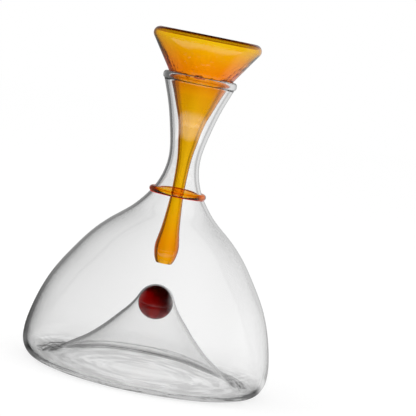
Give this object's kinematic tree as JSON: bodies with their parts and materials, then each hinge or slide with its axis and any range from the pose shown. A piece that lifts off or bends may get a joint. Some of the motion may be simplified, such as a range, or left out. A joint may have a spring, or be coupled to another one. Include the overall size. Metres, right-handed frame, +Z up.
{
  "type": "glass carafe",
  "caption": "Wide wine carafe of clear blown glass with a flared neck, a hollow amber stopper, an amber neck ring and a dark red ball in the tip of its deep punt.",
  "frame": {"origin": "centre of the base, in the plane that the standing ring rests on", "axes": "+Z up the carafe's axis of revolution, from the base to the stopper; X and Y are interchangeable"},
  "size_m": [0.2116, 0.2116, 0.2942],
  "materials": {
    "clear_glass": "fire-polished, clear",
    "amber_glass": "fire-polished, amber through and through",
    "red_glass": "fire-polished, deep red"
  },
  "bodies": {
    "carafe": {"carafe_body": "clear_glass", "punt_cone": "clear_glass", "punt_ball": "red_glass", "lip_bead": "clear_glass", "neck_ring": "amber_glass"},
    "stopper": {"stopper": "amber_glass"}
  },
  "joints": [
    {"name": "stopper_lift", "type": "slide", "parent": "carafe", "child": "stopper", "axis": [0, 0, 1], "range_m": [0, 0.17]}
  ]
}
